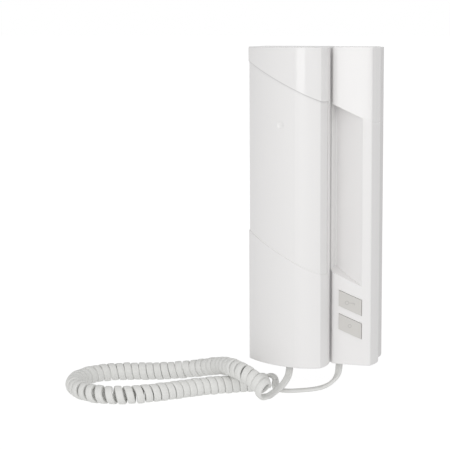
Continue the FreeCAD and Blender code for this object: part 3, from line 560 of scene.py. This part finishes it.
def dust_group():
    """Mask of fine dust on what looks up."""
    found = bpy.data.node_groups.get("Settled Dust")
    if found:
        return found
    t, source, sink = new_group(
        "Settled Dust",
        [
            ("Vector", "NodeSocketVector", None),
            ("Normal", "NodeSocketVector", None),
            ("Amount", "NodeSocketFloat", 0.1),
        ],
        [("Mask", "NodeSocketFloat")],
    )
    up = t.add("ShaderNodeSeparateXYZ", {"Vector": source.outputs["Normal"]}).outputs["Z"]
    facing = t.add("ShaderNodeMapRange", {
        "Value": up, "From Min": 0.25, "From Max": 0.95}, interpolation_type="SMOOTHSTEP").outputs[0]
    patches = t.add("ShaderNodeTexNoise", {
        "Vector": source.outputs["Vector"], "Scale": 90.0, "Detail": 6.0, "Roughness": 0.7}).outputs[0]
    specks = t.add("ShaderNodeTexVoronoi", {
        "Vector": source.outputs["Vector"], "Scale": 1400.0}).outputs["Distance"]
    grains = t.math("SUBTRACT", 1.0, t.math("MULTIPLY", specks, 1.6, clamp=True))
    laid = t.math("MULTIPLY", facing, t.math("MULTIPLY", patches, t.math("ADD", grains, 0.5)))
    mask = t.math("MULTIPLY", laid, source.outputs["Amount"], clamp=True)
    t.tree.links.new(mask, sink.inputs["Mask"])
    return t.tree


def slant_group():
    """Mask of what lies above a line that falls to the right, and right of an edge, seen from the front."""
    found = bpy.data.node_groups.get("Above Slanted Line")
    if found:
        return found
    t, source, sink = new_group(
        "Above Slanted Line",
        [
            ("Vector", "NodeSocketVector", None),
            ("Height", "NodeSocketFloat", 0.0),
            ("Fall", "NodeSocketFloat", 0.46),
            ("Left Edge", "NodeSocketFloat", -1.0),
            ("Softness", "NodeSocketFloat", 0.0005),
        ],
        [("Mask", "NodeSocketFloat")],
    )
    parts = t.add("ShaderNodeSeparateXYZ", {"Vector": source.outputs["Vector"]})
    level = t.math("MULTIPLY", parts.outputs["X"], source.outputs["Fall"])
    above = t.math("SUBTRACT", t.math("ADD", parts.outputs["Z"], level), source.outputs["Height"])
    right_of = t.math("GREATER_THAN", parts.outputs["X"], source.outputs["Left Edge"])
    mask = t.math("MULTIPLY", t.math("DIVIDE", above, source.outputs["Softness"], clamp=True), right_of)
    t.tree.links.new(mask, sink.inputs["Mask"])
    return t.tree


def new_material(name):
    """A material that holds one Principled BSDF, its tree, and that shader."""
    material = bpy.data.materials.new(name)
    material.use_nodes = True
    tree = material.node_tree
    tree.nodes.clear()
    shader = tree.nodes.new("ShaderNodeBsdfPrincipled")
    output = tree.nodes.new("ShaderNodeOutputMaterial")
    tree.links.new(shader.outputs["BSDF"], output.inputs["Surface"])
    return material, Tree(tree), shader


def slanted_mask(t, place, height, left_edge, softness=None):
    """Mask of what lies above the slanted line at that height, and right of that edge."""
    group = t.add("ShaderNodeGroup", node_tree=slant_group())
    t.tree.links.new(place, group.inputs["Vector"])
    group.inputs["Height"].default_value = height
    group.inputs["Fall"].default_value = SLANT
    group.inputs["Left Edge"].default_value = left_edge
    if softness is not None:
        group.inputs["Softness"].default_value = softness
    return group.outputs["Mask"]


def moulded(name, colour, satin=0.38, drift=0.02, polished_above=None, left_edge=-1.0, step_shade=0.0, bump=0.08,
            dust=0.0):
    """Moulded plastic. Above a slanted line its skin is polished, and a thin line of painted shade lies along
    that line, standing in for the shade of the step.
    """
    material, t, shader = new_material(name)
    coordinates = t.add("ShaderNodeTexCoord")
    place = coordinates.outputs["Object"]
    group = t.add("ShaderNodeGroup", node_tree=moulding_group())
    t.tree.links.new(place, group.inputs["Vector"])
    group.inputs["Colour"].default_value = (*colour, 1)
    group.inputs["Satin Roughness"].default_value = satin
    group.inputs["Drift"].default_value = drift
    shaded = group.outputs["Colour"]
    if polished_above is not None:
        gloss = slanted_mask(t, place, polished_above, left_edge)
        wider = slanted_mask(t, place, polished_above - SHADE_LINE_WIDTH, left_edge, SHADE_LINE_SOFTNESS)
        t.tree.links.new(gloss, group.inputs["Gloss Mask"])
        # A thin band just below the polished skin is darkened by the given strength: painted shade for the
        # step's shade.
        shade_line = t.math("SUBTRACT", wider, gloss, clamp=True)
        shade_colour = [PAINTED_SHADE_SHARE * share for share in colour]
        shaded = t.blend(t.math("MULTIPLY", shade_line, step_shade), shaded, (*shade_colour, 1))
    relief = t.add("ShaderNodeBump", {
        "Strength": bump, "Distance": 0.00001, "Height": group.outputs["Height"]}).outputs[0]
    laid = t.add("ShaderNodeGroup", node_tree=dust_group())
    t.tree.links.new(place, laid.inputs["Vector"])
    t.tree.links.new(coordinates.outputs["Normal"], laid.inputs["Normal"])
    laid.inputs["Amount"].default_value = dust
    tone = t.blend(laid.outputs["Mask"], shaded, DUST_COLOUR)
    dull = t.math("MULTIPLY_ADD", laid.outputs["Mask"], 0.5, group.outputs["Roughness"], clamp=True)
    t.tree.links.new(tone, shader.inputs["Base Color"])
    t.tree.links.new(dull, shader.inputs["Roughness"])
    t.tree.links.new(relief, shader.inputs["Normal"])
    shader.inputs["IOR"].default_value = 1.5
    return material


def vinyl(cord):
    """Soft vinyl with faint drawing streaks along the cord."""
    found = bpy.data.materials.get("cord_vinyl")
    if found:
        return found
    material, t, shader = new_material("cord_vinyl")
    uv = t.add("ShaderNodeUVMap", uv_map="Along").outputs[0]
    stretched = t.add("ShaderNodeMapping", {"Vector": uv, "Scale": (60.0, 2600.0, 1.0)}).outputs[0]
    streaks = t.add("ShaderNodeTexNoise", {"Vector": stretched, "Scale": 1.0, "Detail": 3.0})
    cloud = t.add("ShaderNodeTexNoise", {"Vector": uv, "Scale": 130.0, "Detail": 4.0})
    dark, pale = [(*[share * part for part in cord.colour], 1) for share in (0.97, 1.03)]
    tone = t.blend(cloud.outputs[0], dark, pale)
    rough = t.add("ShaderNodeMapRange", {
        "Value": cloud.outputs[0], "To Min": 0.36, "To Max": 0.5}).outputs[0]
    relief = t.add("ShaderNodeBump", {
        "Strength": 0.15, "Distance": 0.00003, "Height": streaks.outputs[0]}).outputs[0]
    t.tree.links.new(tone, shader.inputs["Base Color"])
    t.tree.links.new(rough, shader.inputs["Roughness"])
    t.tree.links.new(relief, shader.inputs["Normal"])
    shader.inputs["IOR"].default_value = 1.52
    return material


def finish(name, material):
    """Gives a CAD node its finish."""
    obj = nodes[name]
    obj.data.materials.clear()
    obj.data.materials.append(material)


class WALLPHONE_OT_shells(bpy.types.Operator):
    """Finish the housing, the wall plate and the handset"""

    bl_idname = "wall_phone.shells"
    bl_label = "Finish Shells"

    def execute(self, context):
        plastic = settings("plastic")
        dust = plastic.dust
        finish("base_cover", moulded(
            "housing_plastic", plastic.shell, polished_above=0.0757, left_edge=0.0142, dust=dust))
        # The handset's front gets a line of painted shade along its step.
        finish("handset_front_shell", moulded(
            "handset_plastic", plastic.shell, polished_above=0.0775, step_shade=0.8, dust=dust))
        finish("handset_back_shell", moulded(
            "handset_back_plastic", plastic.shell, satin=0.42, dust=dust))
        finish("wall_plate", moulded(
            "wall_plate_plastic", plastic.plate, satin=0.45, drift=0.04, dust=dust * 2))
        return {"FINISHED"}


class WALLPHONE_OT_keys(bpy.types.Operator):
    """Finish the two keys"""

    bl_idname = "wall_phone.keys"
    bl_label = "Finish Keys"

    def execute(self, context):
        plastic = settings("plastic")
        material = moulded("key_plastic", plastic.keys, satin=0.42, drift=0.03)
        finish("door_key", material)
        finish("auxiliary_key", material)
        return {"FINISHED"}


def flat_ring(name, radius, stroke, place):
    """A thin flat ring that faces the front."""
    deselect()
    bpy.ops.mesh.primitive_circle_add(
        vertices=40, radius=radius, fill_type="NGON", location=place, rotation=(math.pi / 2, 0, 0))
    ring = bpy.context.object
    ring.name = name
    bpy.ops.object.mode_set(mode="EDIT")
    bpy.ops.mesh.select_all(action="SELECT")
    bpy.ops.mesh.inset(thickness=stroke)
    bpy.ops.mesh.delete(type="FACE")
    bpy.ops.object.mode_set(mode="OBJECT")
    return ring


def flat_bar(place, width, height):
    """A thin flat bar that faces the front, divided along its length."""
    deselect()
    bpy.ops.mesh.primitive_plane_add(
        size=1.0, location=place, rotation=(math.pi / 2, 0, 0))
    bar = bpy.context.object
    bar.scale = (width, height, 1)
    bpy.ops.object.mode_set(mode="EDIT")
    bpy.ops.mesh.select_all(action="SELECT")
    bpy.ops.mesh.subdivide(number_cuts=5)
    bpy.ops.object.mode_set(mode="OBJECT")
    return bar


def lay_sign(pieces, key, material):
    """Joins a sign's strokes, lays them on a key's curved front, and gives them the thickness of print."""
    deselect()
    for piece in pieces:
        piece.select_set(True)
    sign = pieces[0]
    bpy.context.view_layer.objects.active = sign
    if len(pieces) > 1:
        bpy.ops.object.join()
    bpy.ops.object.transform_apply(location=True, rotation=True, scale=True)
    wrap = sign.modifiers.new("Lay", "SHRINKWRAP")
    wrap.target = nodes[key]
    wrap.wrap_method = "PROJECT"
    wrap.use_project_y = True
    wrap.use_positive_direction = True
    wrap.use_negative_direction = False
    thicken = sign.modifiers.new("Print", "SOLIDIFY")
    thicken.thickness = PRINT_DEPTH
    thicken.offset = 0.6
    bpy.ops.object.modifier_apply(modifier="Lay")
    bpy.ops.object.modifier_apply(modifier="Print")
    sign.data.materials.clear()
    sign.data.materials.append(material)
    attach(sign, key)


class WALLPHONE_OT_signs(bpy.types.Operator):
    """Lay the signs on the two keys: a door key on the upper one and a ring on the lower one"""

    bl_idname = "wall_phone.signs"
    bl_label = "Make Key Signs"

    def execute(self, context):
        plastic = settings("plastic")
        width, stroke = plastic.sign_width, plastic.sign_stroke
        ink = moulded("sign_print", plastic.signs, satin=0.5, drift=0.06)

        middle = self.front_middle("door_key")
        bow = width * BOW_SHARE
        ring = flat_ring("door_sign", bow, stroke, middle + Vector((bow - width / 2, 0, 0)))
        shank_length = width - 2 * bow + stroke / 2
        shank = flat_bar(middle + Vector(((width - shank_length) / 2, 0, 0)), shank_length, stroke)
        teeth = []
        for share, drop in TEETH:
            place = middle + Vector((width * share - stroke / 2, 0, -drop / 2 - stroke / 2))
            teeth.append(flat_bar(place, stroke, drop))
        lay_sign([ring, shank, *teeth], "door_key", ink)

        place = self.front_middle("auxiliary_key") + Vector((0, 0, RING_RISE))
        lay_sign([flat_ring("auxiliary_sign", width * RING_SHARE, stroke, place)], "auxiliary_key", ink)
        return {"FINISHED"}

    def front_middle(self, key):
        """A place just clear of the middle of a key's front."""
        low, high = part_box(key)
        return Vector(((low[0] + high[0]) / 2, low[1] - SIGN_CLEARANCE, (low[2] + high[2]) / 2))


def metal(name, colour, tarnish, roughness, stretch, bump):
    """Metal with drawing or turning marks along one way, and a thin tarnish."""
    material, t, shader = new_material(name)
    place = t.add("ShaderNodeTexCoord").outputs["Object"]
    drawn = t.add("ShaderNodeMapping", {"Vector": place, "Scale": stretch}).outputs[0]
    marks = t.add("ShaderNodeTexNoise", {
        "Vector": drawn, "Scale": 1.0, "Detail": 4.0, "Roughness": 0.6}).outputs[0]
    cloud = t.add("ShaderNodeTexNoise", {"Vector": place, "Scale": 240.0, "Detail": 4.0}).outputs[0]
    tone = t.blend(cloud, (*colour, 1), (*tarnish, 1))
    low, high = roughness
    rough = t.add("ShaderNodeMapRange", {"Value": marks, "To Min": low, "To Max": high}).outputs[0]
    relief = t.add("ShaderNodeBump", {"Strength": bump, "Distance": 0.00002, "Height": marks}).outputs[0]
    t.tree.links.new(tone, shader.inputs["Base Color"])
    t.tree.links.new(rough, shader.inputs["Roughness"])
    t.tree.links.new(relief, shader.inputs["Normal"])
    shader.inputs["Metallic"].default_value = 1.0
    return material


def soft(name, colour, bloom, cloud_scale, pore_scale, depth):
    """Rubber or foam: a dark matt skin with a pale bloom and pores."""
    material, t, shader = new_material(name)
    place = t.add("ShaderNodeTexCoord").outputs["Object"]
    cloud = t.add("ShaderNodeTexNoise", {
        "Vector": place, "Scale": cloud_scale, "Detail": 5.0, "Roughness": 0.6}).outputs[0]
    cells = t.add("ShaderNodeTexVoronoi", {"Vector": place, "Scale": pore_scale}).outputs["Distance"]
    tone = t.blend(cloud, (*colour, 1), (*bloom, 1))
    rough = t.add("ShaderNodeMapRange", {"Value": cloud, "To Min": 0.62, "To Max": 0.9}).outputs[0]
    relief = t.add("ShaderNodeBump", {"Strength": 0.5, "Distance": depth, "Height": cells}).outputs[0]
    t.tree.links.new(tone, shader.inputs["Base Color"])
    t.tree.links.new(rough, shader.inputs["Roughness"])
    t.tree.links.new(relief, shader.inputs["Normal"])
    return material


def board_laminate():
    """Green solder mask over copper tracks, with a grid of tinned pads."""
    material, t, shader = new_material("board_laminate")
    place = t.add("ShaderNodeTexCoord").outputs["Object"]
    flat = t.add("ShaderNodeMapping", {"Vector": place, "Rotation": (math.pi / 2, 0, 0)}).outputs[0]
    tracks = t.add("ShaderNodeTexBrick", {
        "Vector": flat, "Scale": 95.0, "Mortar Size": 0.05, "Mortar Smooth": 0.3, "Brick Width": 0.9,
        "Row Height": 0.24,
    }, offset=0.5, offset_frequency=2).outputs["Fac"]
    dots = t.add("ShaderNodeTexVoronoi", {
        "Vector": flat, "Scale": 394.0, "Randomness": 0.0}, voronoi_dimensions="2D").outputs["Distance"]
    chosen = t.add("ShaderNodeTexNoise", {"Vector": flat, "Scale": 120.0, "Detail": 1.0}).outputs[0]
    pad = t.math("MULTIPLY", t.math("LESS_THAN", dots, 0.3), t.math("GREATER_THAN", chosen, 0.56))
    weave = t.add("ShaderNodeTexNoise", {"Vector": place, "Scale": 1500.0, "Detail": 2.0}).outputs[0]
    mask = t.blend(weave, (0.012, 0.11, 0.045, 1), (0.02, 0.15, 0.06, 1))
    covered = t.blend(tracks, mask, (0.05, 0.24, 0.09, 1))
    tone = t.blend(pad, covered, (0.62, 0.62, 0.60, 1))
    rough = t.math("MULTIPLY_ADD", weave, 0.1, 0.24)
    height = t.math("ADD", tracks, t.math("MULTIPLY", pad, 0.6))
    relief = t.add("ShaderNodeBump", {"Strength": 0.4, "Distance": 0.00004, "Height": height}).outputs[0]
    t.tree.links.new(tone, shader.inputs["Base Color"])
    t.tree.links.new(pad, shader.inputs["Metallic"])
    t.tree.links.new(rough, shader.inputs["Roughness"])
    t.tree.links.new(relief, shader.inputs["Normal"])
    return material


class WALLPHONE_OT_board(bpy.types.Operator):
    """Finish the circuit board, its switches and its line terminals"""

    bl_idname = "wall_phone.board"
    bl_label = "Finish Circuit Board"

    def execute(self, context):
        finish("main_circuit_board", board_laminate())
        switch = moulded("switch_plastic", (0.028, 0.028, 0.03), satin=0.42, drift=0.25, bump=0.2)
        for name in ("door_switch", "auxiliary_switch", "hook_switch"):
            finish(name, switch)
        finish("terminal_block", moulded(
            "terminal_plastic", (0.06, 0.27, 0.11), satin=0.36, drift=0.12, dust=0.1))
        return {"FINISHED"}


class WALLPHONE_OT_sound(bpy.types.Operator):
    """Finish the earpiece, the microphone and the call speaker"""

    bl_idname = "wall_phone.sound"
    bl_label = "Finish Sound Capsules"

    def execute(self, context):
        finish("earpiece_capsule", moulded(
            "capsule_plastic", (0.03, 0.03, 0.034), satin=0.5, drift=0.3, bump=0.25))
        finish("earpiece_seal", soft(
            "seal_foam", (0.03, 0.03, 0.032), bloom=(0.07, 0.07, 0.072),
            cloud_scale=300.0, pore_scale=1800.0, depth=0.00015))
        finish("microphone_boot", soft(
            "boot_rubber", (0.022, 0.022, 0.023), bloom=(0.05, 0.05, 0.05),
            cloud_scale=140.0, pore_scale=2600.0, depth=0.00003))
        finish("microphone_capsule", metal(
            "drawn_can", (0.62, 0.62, 0.63), tarnish=(0.5, 0.5, 0.5),
            roughness=(0.22, 0.4), stretch=(900.0, 60.0, 900.0), bump=0.1))
        finish("call_speaker", metal(
            "pressed_steel", (0.5, 0.5, 0.51), tarnish=(0.4, 0.39, 0.38),
            roughness=(0.32, 0.5), stretch=(300.0, 300.0, 300.0), bump=0.2))
        return {"FINISHED"}


class WALLPHONE_OT_works(bpy.types.Operator):
    """Finish the hook lever, the weight, the jacks, the plugs and the screws"""

    bl_idname = "wall_phone.works"
    bl_label = "Finish Works"

    def execute(self, context):
        finish("hook_lever", moulded("lever_acetal", (0.70, 0.70, 0.68), satin=0.3, drift=0.05, bump=0.1))
        jack = moulded("jack_plastic", (0.026, 0.026, 0.028), satin=0.4, drift=0.25, bump=0.2)
        plug = moulded("plug_plastic", (0.74, 0.75, 0.74), satin=0.14, drift=0.08, bump=0.05)
        plug.node_tree.nodes["Principled BSDF"].inputs["Transmission Weight"].default_value = 0.6
        for name in ("base_cord_jack", "handset_cord_jack"):
            finish(name, jack)
        for name in ("base_plug", "handset_plug"):
            finish(name, plug)
        finish("handset_weight", metal(
            "rolled_steel", (0.34, 0.34, 0.35), tarnish=(0.24, 0.23, 0.22),
            roughness=(0.34, 0.6), stretch=(40.0, 600.0, 600.0), bump=0.3))
        plated = metal(
            "zinc_plated", (0.66, 0.67, 0.70), tarnish=(0.60, 0.60, 0.55),
            roughness=(0.24, 0.42), stretch=(700.0, 90.0, 700.0), bump=0.12)
        for name in nodes:
            if "screw" in name or name == "hook_pin":
                finish(name, plated)
        return {"FINISHED"}


# ---- Stage -------------------------------------------------------------------------------------------
class WALLPHONE_OT_stage(bpy.types.Operator):
    """Make the floor, the soft light and the camera"""

    bl_idname = "wall_phone.stage"
    bl_label = "Make Stage"

    def execute(self, context):
        stage = settings("stage")
        deselect()
        bpy.ops.mesh.primitive_plane_add(size=stage.floor_size, location=(0, 0, FLOOR * MM))
        floor = context.object
        floor.name = "floor"
        material, t, shader = new_material("floor_paper")
        paper = t.add("ShaderNodeTexNoise", {"Scale": 40.0, "Detail": 2.0})
        tone = t.blend(paper.outputs[0], (0.28, 0.28, 0.28, 1), (0.30, 0.30, 0.30, 1))
        t.tree.links.new(tone, shader.inputs["Base Color"])
        shader.inputs["Emission Color"].default_value = (1, 1, 1, 1)
        seen = t.add("ShaderNodeLightPath").outputs["Is Camera Ray"]
        glow = t.add("ShaderNodeMapRange", {
            "Value": seen, "To Min": stage.floor_lamp, "To Max": stage.floor_glow}).outputs[0]
        t.tree.links.new(glow, shader.inputs["Emission Strength"])
        shader.inputs["Roughness"].default_value = 0.9
        shader.inputs["Specular IOR Level"].default_value = 0.0
        floor.data.materials.append(material)

        context.scene.world = self.room(stage)
        self.soft_box(
            context, "front_box", stage.key_power, azimuth=-4.0, height=0.28, width=0.66, tall=1.3)
        self.soft_box(
            context, "edge_strip", stage.strip_power, azimuth=66.0, height=0.1, width=0.07, tall=1.5)

        data = bpy.data.cameras.new("camera")
        data.sensor_width = SENSOR_WIDTH
        data.lens = stage.lens
        camera = bpy.data.objects.new("camera", data)
        context.scene.collection.objects.link(camera)
        ahead = Vector(CAMERA_AHEAD).normalized()
        over = Vector(CAMERA_OVER)
        right = ahead.cross(over).normalized()
        over = right.cross(ahead)
        turn = Matrix((right, over, -ahead)).transposed().to_4x4()
        camera.matrix_world = Matrix.Translation(CAMERA_PLACE) @ turn
        context.scene.camera = camera
        context.scene.view_settings.view_transform = "Standard"
        return {"FINISHED"}

    def room(self, stage):
        """Soft light all round: bright from the front, dimmer at the sides, white behind the phone."""
        world = bpy.data.worlds.new("soft_room")
        world.use_nodes = True
        t = Tree(world.node_tree)
        way = t.add("ShaderNodeTexCoord").outputs["Generated"]
        ahead = t.add("ShaderNodeSeparateXYZ", {"Vector": way}).outputs["Y"]
        facing = t.add(
            "ShaderNodeVectorMath", {0: way, 1: BRIGHT_WAY}, operation="DOT_PRODUCT").outputs["Value"]
        front = t.add("ShaderNodeMapRange", {
            "Value": facing, "From Min": -0.2, "From Max": 0.75, "To Min": stage.room, "To Max": stage.front,
        }, interpolation_type="SMOOTHSTEP").outputs[0]
        behind = t.add("ShaderNodeMapRange", {
            "Value": ahead, "From Min": 0.68, "From Max": 0.8, "To Min": 0.0, "To Max": 1.0 - stage.room,
        }, interpolation_type="SMOOTHSTEP").outputs[0]
        background = world.node_tree.nodes["Background"]
        t.tree.links.new(t.math("ADD", front, behind), background.inputs["Strength"])
        background.inputs["Color"].default_value = (1, 1, 1, 1)
        return world

    def soft_box(self, context, name, power, azimuth, height, width, tall):
        """An upright area light that faces the phone from that azimuth, in degrees from straight in front."""
        data = bpy.data.lights.new(name, "AREA")
        data.shape = "RECTANGLE"
        data.size = width
        data.size_y = tall
        data.energy = power
        light = bpy.data.objects.new(name, data)
        context.scene.collection.objects.link(light)
        angle = math.radians(azimuth)
        light.location = (LIGHT_DISTANCE * math.sin(angle), -LIGHT_DISTANCE * math.cos(angle), height)
        aim = -light.location
        aim.z = 0
        light.rotation_mode = "QUATERNION"
        light.rotation_quaternion = aim.to_track_quat("-Z", "Y")


# ---- Panel and registration --------------------------------------------------------------------------
STEPS = [
    WALLPHONE_OT_stage,
    WALLPHONE_OT_cord,
    WALLPHONE_OT_shells,
    WALLPHONE_OT_keys,
    WALLPHONE_OT_signs,
    WALLPHONE_OT_board,
    WALLPHONE_OT_sound,
    WALLPHONE_OT_works,
]


class WALLPHONE_PT_panel(bpy.types.Panel):
    """Steps and settings of the wall phone"""

    bl_label = "Wall Phone"
    bl_idname = "WALLPHONE_PT_panel"
    bl_space_type = "VIEW_3D"
    bl_region_type = "UI"
    bl_category = "Wall Phone"

    def draw(self, context):
        for step in STEPS:
            self.layout.operator(step.bl_idname)
        for group in ("cord", "plastic", "stage"):
            values = settings(group)
            box = self.layout.box()
            for name in values.__annotations__:
                box.prop(values, name)


CLASSES = [WallPhoneCord, WallPhonePlastic, WallPhoneStage, *STEPS, WALLPHONE_PT_panel]


def register():
    for cls in CLASSES:
        bpy.utils.register_class(cls)
    bpy.types.Scene.wall_phone_cord = bpy.props.PointerProperty(type=WallPhoneCord)
    bpy.types.Scene.wall_phone_plastic = bpy.props.PointerProperty(type=WallPhonePlastic)
    bpy.types.Scene.wall_phone_stage = bpy.props.PointerProperty(type=WallPhoneStage)


def unregister():
    del bpy.types.Scene.wall_phone_stage
    del bpy.types.Scene.wall_phone_plastic
    del bpy.types.Scene.wall_phone_cord
    for cls in reversed(CLASSES):
        bpy.utils.unregister_class(cls)


def main():
    register()
    for step in STEPS:
        group, name = step.bl_idname.split(".")
        getattr(getattr(bpy.ops, group), name)()


if __name__ == "__main__":
    main()
